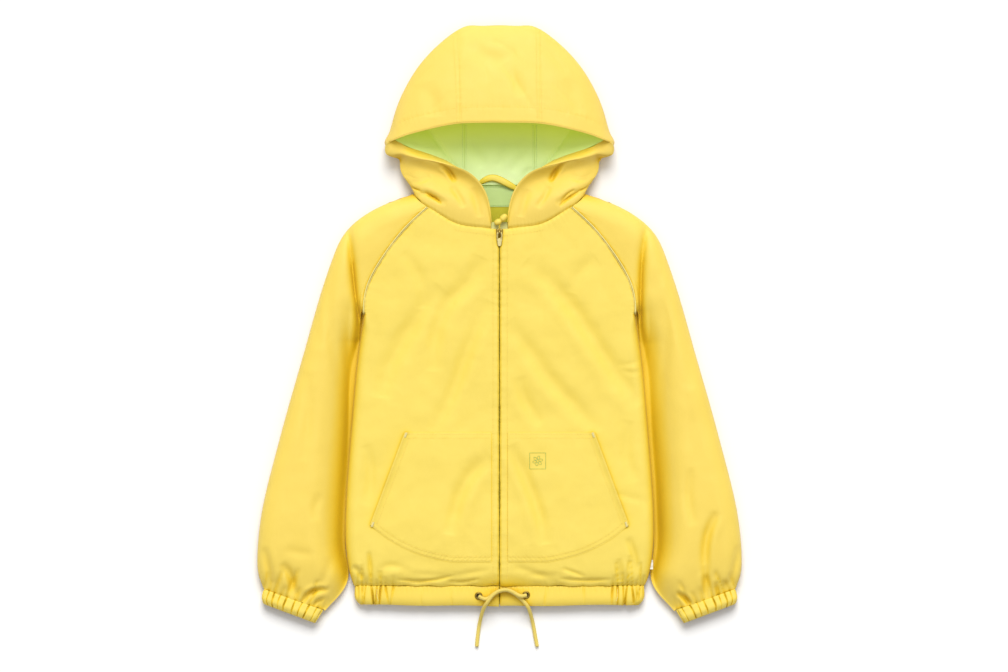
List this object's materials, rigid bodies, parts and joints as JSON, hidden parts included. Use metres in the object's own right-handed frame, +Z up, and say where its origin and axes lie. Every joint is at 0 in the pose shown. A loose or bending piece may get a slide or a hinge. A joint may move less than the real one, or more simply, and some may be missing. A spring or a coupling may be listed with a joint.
{
  "type": "hooded windbreaker jacket",
  "caption": "Child's hooded windbreaker laid flat, zip closed, raglan sleeves, elastic cuffs and hem, kangaroo pockets and a drawcord at the hem.",
  "frame": {"origin": "middle of the footprint of the jacket without its drawcord ends, on the surface it lies on", "axes": "+Z up from the surface, +Y from hem to hood, +X to the wearer's left"},
  "size_m": [0.604, 0.7764, 0.057],
  "materials": {
    "shell": "matt yellow polyester taffeta with a faint sheen",
    "lining": "soft light green lining",
    "label": "bare woven label",
    "tape": "pale yellow woven zip tape",
    "piping": "pale lemon piping",
    "brass": "antique brass",
    "cord": "braided yellow cord"
  },
  "bodies": {
    "jacket": {"front_left": "shell", "front_right": "shell", "back": "shell", "sleeve_front_left": "shell", "sleeve_front_right": "shell", "sleeve_back_left": "shell", "sleeve_back_right": "shell", "cuff_left": "shell", "cuff_right": "shell", "hem_front_left": "shell", "hem_front_right": "shell", "hem_back": "shell", "hood_centre": "shell", "hood_side_left": "shell", "hood_side_right": "shell", "hood_facing_left": "shell", "hood_facing_right": "shell", "pocket_left": "shell", "pocket_right": "shell", "hanger_loop": "shell", "chin_guard": "shell", "hood_lining_centre": "lining", "hood_lining_left": "lining", "hood_lining_right": "lining", "neck_tape": "lining", "neck_label": "label", "side_label": "label", "zip_tape_left": "tape", "zip_tape_right": "tape", "piping_left": "piping", "piping_right": "piping", "zip_coil": "brass", "zip_slider": "brass", "eyelet_left": "brass", "eyelet_right": "brass", "drawcord_left": "cord", "drawcord_right": "cord"},
    "pull": {"zip_pull": "brass"}
  },
  "joints": [
    {"name": "pull_swing", "type": "hinge", "parent": "jacket", "child": "pull", "pos_m": [0, 0.1136, 0.0346], "axis": [-1, 0, 0], "range_deg": [0, 150]}
  ]
}
